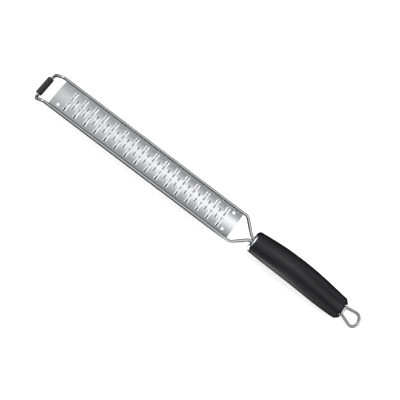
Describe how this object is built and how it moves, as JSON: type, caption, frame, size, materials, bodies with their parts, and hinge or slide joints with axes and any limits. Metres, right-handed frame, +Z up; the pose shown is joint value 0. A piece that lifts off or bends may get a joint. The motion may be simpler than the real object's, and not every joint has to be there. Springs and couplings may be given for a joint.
{
  "type": "rasp zester",
  "caption": "Long rasp zester: steel blade with raised cutting straps in a bent wire frame with a rubber foot, an arched oval grip and a swinging wire hanging loop.",
  "frame": {"origin": "on the table, under the middle of the tool's bounding box", "axes": "+X along the tool from the foot to the handle, +Y across the blade, +Z up, out of the cutting side"},
  "size_m": [0.4038, 0.0352, 0.0317],
  "materials": {
    "polished_wire": "polished stainless steel rod",
    "foot_rubber": "matt black rubber",
    "blade_steel": "brushed stainless steel sheet",
    "polished_cap": "polished stainless steel",
    "core_plastic": "moulded black plastic",
    "grip_soft": "satin black soft-touch elastomer",
    "cap_plastic": "satin black plastic",
    "loop_wire": "bright drawn steel wire"
  },
  "bodies": {
    "tool": {"frame_wire": "polished_wire", "foot_sleeve": "foot_rubber", "rasp_blade": "blade_steel", "front_cap": "polished_cap", "handle_core": "core_plastic", "grip_sleeve": "grip_soft", "rear_cap": "cap_plastic"},
    "loop": {"hang_loop": "loop_wire"}
  },
  "joints": [
    {"name": "loop_swing", "type": "hinge", "parent": "tool", "child": "loop", "pos_m": [0.17898, 0, 0.00945], "axis": [0, 1, 0], "range_deg": [-107, 66]}
  ]
}
